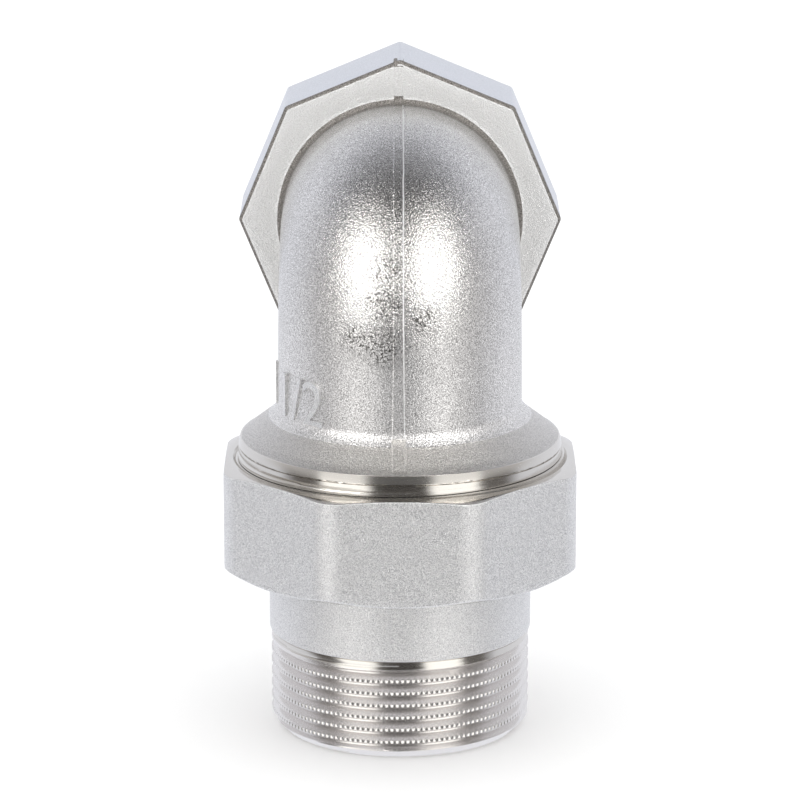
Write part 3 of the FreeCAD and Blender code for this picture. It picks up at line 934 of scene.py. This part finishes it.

# %% [markdown]
# The other blasted surfaces are the same material with other values, partly as painted light
# and shade. The socket's back is frosted and painted lighter, almost white, as painted light; its
# sides are finer and painted bluish, as a painted reflection of the pale backdrop; the skirt is
# smoother and painted darker and warmer, as painted shade; and hollows and rounded edges are dull
# and painted dark, as painted shade. Nut and tail piece come out of another blasting, with a finer
# grain.

# %% Other blasted finishes
# Painted light: the socket's back is painted lighter, almost white.
socket_back = grained_nickel(
    "socket_back_nickel", (0.72, 0.72, 0.72), (1.0, 1.0, 1.0), rough=(0.14, 0.24),
    grain=0.20, depth=0.15, metal=0.46,
)
# Painted reflection: the sides are painted bluish, like the pale backdrop they mirror.
side_metal = grained_nickel(
    "side_blasted_nickel", (0.66, 0.68, 0.72), (0.80, 0.82, 0.87), rough=(0.30, 0.45),
    grain=0.24, depth=0.04, metal=0.9,
)
# Painted shade: the skirt is painted darker and warmer.
skirt_metal = grained_nickel(
    "skirt_nickel", (0.36, 0.35, 0.34), (0.88, 0.86, 0.84), rough=(0.28, 0.36),
    grain=0.16, depth=0.075, metal=0.92, patch_strength=0.3,
)
# Painted shade: hollows and rounded edges are painted dark.
painted_shade_metal = grained_nickel(
    "painted_shade_hollow_and_edge_nickel", (0.16, 0.15, 0.14), (0.44, 0.42, 0.40), rough=(0.55, 0.70),
    grain=0.24, depth=0.10, metal=0.9,
)
nut_metal = grained_nickel(
    "nut_blasted_nickel", (0.42, 0.42, 0.435), (1.0, 1.0, 1.0), rough=(0.22, 0.34),
    grain=0.15, depth=0.075, metal=0.67,
)
tail_metal = grained_nickel(
    "tail_blasted_nickel", (0.48, 0.48, 0.495), (1.0, 1.0, 1.0), rough=(0.24, 0.34),
    grain=0.16, depth=0.085, metal=0.68,
)

# %% [markdown]
# Threads, rims and bores were turned before plating. They mirror the studio in streaks, because
# the tool left fine rings round the axis. A wave texture could draw them, but its rings would be
# even. Here they are a noise that is stretched so far round the axis that it changes only along
# it.

# %% Turning rings group
RING_STRETCH = 0.02


def rings_group():
    """Rings round z, or round y where Along y is 1, and a tone that adds clouds to them."""
    group, given, made = new_group(
        "turning_rings", {"Along y": 0.0}, {"Rings": "NodeSocketFloat", "Tone": "NodeSocketFloat"}
    )
    where = group.nodes.new("ShaderNodeTexCoord").outputs["Object"]
    sizes = group.nodes.new("ShaderNodeCombineXYZ")
    sizes.inputs["X"].default_value = RING_STRETCH
    along, rest = given.outputs["Along y"], 1 - RING_STRETCH
    group.links.new(maths(group, "MULTIPLY_ADD", along, rest, RING_STRETCH), sizes.inputs["Y"])
    group.links.new(maths(group, "MULTIPLY_ADD", along, -rest, 1.0), sizes.inputs["Z"])
    stretch = group.nodes.new("ShaderNodeVectorMath")
    stretch.operation = "MULTIPLY"
    group.links.new(where, stretch.inputs[0])
    group.links.new(sizes.outputs["Vector"], stretch.inputs[1])
    rings = noise(group, stretch.outputs["Vector"], 9000.0, 3.0, 0.7)
    clouds = noise(group, where, 260.0, 3.0)
    tone = maths(group, "MULTIPLY_ADD", rings, 0.6, maths(group, "MULTIPLY", clouds, 0.4))
    group.links.new(rings, made.inputs["Rings"])
    group.links.new(tone, made.inputs["Tone"])
    return group


RINGS = rings_group()

# %% [markdown]
# Turned nickel is a pure metal whose roughness follows the rings. The male pipe thread gets a
# paler and duller one, because its crests were knurled after turning. The washer is the only part
# that isn't nickel: black rubber, with the same fine grain as a blasted surface but no metal.

# %% Turned nickel and rubber
RING_DEPTH = 0.004


def turned_nickel(name, along_y, colour=(0.70, 0.68, 0.65), rough=(0.10, 0.22), metal=1.0):
    """Turned nickel with its rings round z, or round y where along_y is 1, and its (lowest,
    highest) roughness."""
    made = bpy.data.materials.new(name)
    made.use_nodes = True
    tree = made.node_tree
    shader = tree.nodes["Principled BSDF"]
    shader.inputs["Metallic"].default_value = metal
    shader.inputs["Base Color"].default_value = (*colour, 1)
    rings = tree.nodes.new("ShaderNodeGroup")
    rings.node_tree = RINGS
    rings.inputs["Along y"].default_value = along_y
    span = rough[1] - rough[0]
    spread = maths(tree, "MULTIPLY_ADD", rings.outputs["Tone"], span * 1.6, rough[0] - 0.3 * span)
    tree.links.new(spread, shader.inputs["Roughness"])
    bump = tree.nodes.new("ShaderNodeBump")
    bump.inputs["Strength"].default_value = 1.0
    bump.inputs["Distance"].default_value = RING_DEPTH * MM
    tree.links.new(rings.outputs["Rings"], bump.inputs["Height"])
    tree.links.new(bump.outputs["Normal"], shader.inputs["Normal"])
    return made


turned = turned_nickel("turned_nickel", 0.0)
turned_socket = turned_nickel("turned_socket_nickel", 1.0)
knurled = turned_nickel("knurled_thread_nickel", 0.0, (0.80, 0.78, 0.77), (0.18, 0.30), 0.9)
rubber = grained_nickel(
    "washer_rubber", (0.015, 0.015, 0.015), (0.05, 0.05, 0.05), rough=(0.5, 0.8),
    grain=0.25, depth=0.02, metal=0.0,
)

# %% [markdown]
# A forging is turned only in places, so one piece carries several finishes. They could be painted
# or put on by hand. Since each finish has its place, a rule tells the material's number from
# where a face's middle lies, in mm, and where it looks.

# %% Which face gets which finish
TURNED_TOP = 55.3
KNURLED_TOP = 17.3
TAIL_BLASTED = (18.86, 35.4)


def finish(piece, *materials, rule=None):
    """Gives a piece its materials, spread over its faces by a rule."""
    piece.data.materials.clear()
    for material in materials:
        piece.data.materials.append(material)
    if rule:
        for face in piece.data.polygons:
            face.material_index = rule(face.center / MM, face.normal)
    counts = np.bincount([face.material_index for face in piece.data.polygons])
    print(piece.name, "faces per material", list(counts))


def elbow_rule(middle, normal):
    """0 forged, 1 turned round z, 2 turned round y, 3 socket back, 4 socket sides, 5 skirt,
    6 painted shade in hollows and on edges."""
    from_socket = math.hypot(middle.x, middle.z - SOCKET_AXIS)
    from_union = math.hypot(middle.x, middle.y)
    if middle.z < TURNED_TOP or middle.z < BEND_BASE and from_union < TUBE - 1:
        return 1
    if middle.z < foot[1] + 0.4 and normal.z > 0.74:
        return 5
    in_bore = middle.y > SOCKET_BACK + 0.05 and from_socket < MOUTH + 0.01
    if in_bore or middle.y > SOCKET_FRONT - 0.05:
        return 2
    if middle.y > SOCKET_BACK - ROOT_ROUND and from_socket > TUBE - 0.1:
        if normal.y < -0.9:
            return 3
        return 4 if middle.y > SOCKET_BACK + BACK_ROUND else 6
    return 0


def tail_rule(middle, normal):
    """0 blasted, 1 turned, 2 threaded and knurled."""
    if math.hypot(middle.x, middle.y) < 22:
        return 1
    if middle.z < KNURLED_TOP:
        return 2
    return 0 if TAIL_BLASTED[0] < middle.z < TAIL_BLASTED[1] else 1


def seam_rule(middle, normal):
    """0 forged, 1 socket back, 2 painted shade of hollow and edge, 3 skirt, 4 the strip's sloping
    side, painted paler as a painted highlight.
    """
    if middle.z < foot[1]:
        return 3
    if middle.y > SOCKET_BACK - ROOT_ROUND and middle.z > SOCKET_AXIS:
        above = middle.z - SOCKET_AXIS
        return 1 if TUBE + ROOT_ROUND < above < 29.4 else 2
    # Painted highlight: the strip's sloping side gets the paler tail finish, which shows as a light
    # line.
    return 4 if normal.x > 0.15 else 0


def nut_rule(middle, normal):
    """0 blasted, 1 turned."""
    from_axis = math.hypot(middle.x, middle.y)
    return 1 if from_axis < 31.8 or abs(normal.z) > 0.85 else 0

# %% [markdown]
# Each piece now gets its materials in the order that its rule counts them. The washer is the
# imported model's own node, and keeps its mesh.

# %% Finishes on the pieces
finish(
    elbow, forged, turned, turned_socket, socket_back, side_metal, skirt_metal, painted_shade_metal,
    rule=elbow_rule,
)
finish(tail, tail_metal, turned, knurled, rule=tail_rule)
finish(seam, forged, socket_back, painted_shade_metal, skirt_metal, tail_metal, rule=seam_rule)
finish(burr, turned)
finish(mark, tail_metal)
finish(nut_thread, turned)
finish(socket_thread, turned_socket)
finish(nut, nut_metal, turned, rule=nut_rule)
finish(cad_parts["sealing_washer"], rubber)

# %% [markdown]
# The object stands on a large sheet of white paper, which catches its shadow. The paper stays out
# of the metal's reflections and lets the room's light through from below, as a lit table does. A
# curved backdrop isn't needed, because all rays that miss the object see white anyway.

# %% Studio floor
bpy.ops.object.select_all(action="DESELECT")
bpy.ops.mesh.primitive_plane_add(size=6, location=(0, 0, 0))
floor = bpy.context.object
floor.name = "floor"
floor.visible_glossy = False
floor.visible_shadow = False
paper = bpy.data.materials.new("white_paper")
paper.use_nodes = True
paper.node_tree.nodes["Principled BSDF"].inputs["Base Color"].default_value = (1, 1, 1, 1)
paper.node_tree.nodes["Principled BSDF"].inputs["Roughness"].default_value = 1
paper.node_tree.nodes["Principled BSDF"].inputs["Specular IOR Level"].default_value = 0
floor.data.materials.append(paper)

# %% [markdown]
# The studio is plain. Cameras and dull surfaces see only white, but metal is as bright as what it
# mirrors. So mirroring rays see the room: two soft lamps at the sides of the camera, the dimmer
# room between and beside them, and the pale backdrop behind. Area lamps could do the same with
# many more samples. Here the room is a pattern by direction: one ramp round the object for each
# height, and soft steps between the heights.

# %% The room that the metal mirrors
WARM, PLAIN = (1.0, 0.985, 0.955), (1.0, 0.975, 0.96)
COOL, BROWN = (0.93, 0.945, 1.0), (1.0, 0.93, 0.88)
LAMP_SCALE = 6.0
WHITE = 1.2


def round_room(*stops):
    """Ramp stops (degrees, level, tint), from the camera's side at 0 to the backdrop at 180."""
    return [
        (degrees / 180, tuple(level / LAMP_SCALE * part for part in tint))
        for degrees, level, tint in stops
    ]


BELOW = round_room((0, 1.0, COOL), (180, 1.0, COOL))
LOW = round_room(
    (0, 0.07, BROWN), (19, 0.08, BROWN), (24, 1.55, WARM), (55, 1.55, WARM),
    (60, 0.12, BROWN), (80, 0.16, BROWN), (95, 0.85, COOL), (125, 0.95, COOL), (180, 0.95, COOL),
)
MIDDLE = round_room(
    (0, 0.14, PLAIN), (20, 0.16, PLAIN), (27, 1.05, WARM), (56, 1.05, WARM),
    (62, 0.50, PLAIN), (95, 0.60, PLAIN), (125, 0.95, COOL), (180, 0.95, COOL),
)
HIGH = round_room(
    (0, 0.06, PLAIN), (21, 0.12, PLAIN), (32, 5.9, WARM), (71, 5.9, WARM),
    (78, 0.03, PLAIN), (110, 0.06, PLAIN), (138, 0.50, COOL), (180, 0.42, COOL),
)
ABOVE = round_room((0, 0.12, PLAIN), (180, 0.17, PLAIN))
STEPS_UP = ((-50, -35, LOW), (0, 8, MIDDLE), (36, 46, HIGH), (57, 67, ABOVE))

# %% [markdown]
# The direction of a ray gives its turn round the object and its rise. The ramps are read by the
# turn and mixed by the rise, and only mirroring rays see the result.

# %% World
world = bpy.data.worlds.new("studio")
bpy.context.scene.world = world
world.use_nodes = True
world.cycles.sampling_method = "NONE"
room = world.node_tree
split = room.nodes.new("ShaderNodeSeparateXYZ")
room.links.new(room.nodes.new("ShaderNodeTexCoord").outputs["Generated"], split.inputs[0])
toward = maths(room, "MULTIPLY", split.outputs["Y"], -1.0)
turned_away = maths(room, "ABSOLUTE", maths(room, "ARCTAN2", split.outputs["X"], toward))
azimuth = maths(room, "DIVIDE", turned_away, math.pi)
rise = maths(room, "MULTIPLY_ADD", maths(room, "ARCSINE", split.outputs["Z"]), 1 / math.pi, 0.5)
pattern = ramp(room, azimuth, BELOW)
for start, end, stops in STEPS_UP:
    step_up = ramp(room, rise, [(start / 180 + 0.5, 0.0), (end / 180 + 0.5, 1.0)])
    pattern = mix_colour(room, step_up, pattern, ramp(room, azimuth, stops))
path = room.nodes.new("ShaderNodeLightPath").outputs["Is Glossy Ray"]
light = room.nodes["Background"]
room.links.new(mix_colour(room, path, (1.0, 1.0, 1.0), pattern), light.inputs["Color"])
brightness = maths(room, "MULTIPLY_ADD", path, LAMP_SCALE - WHITE, WHITE)
room.links.new(brightness, light.inputs["Strength"])

bpy.context.scene.view_settings.view_transform = "Standard"
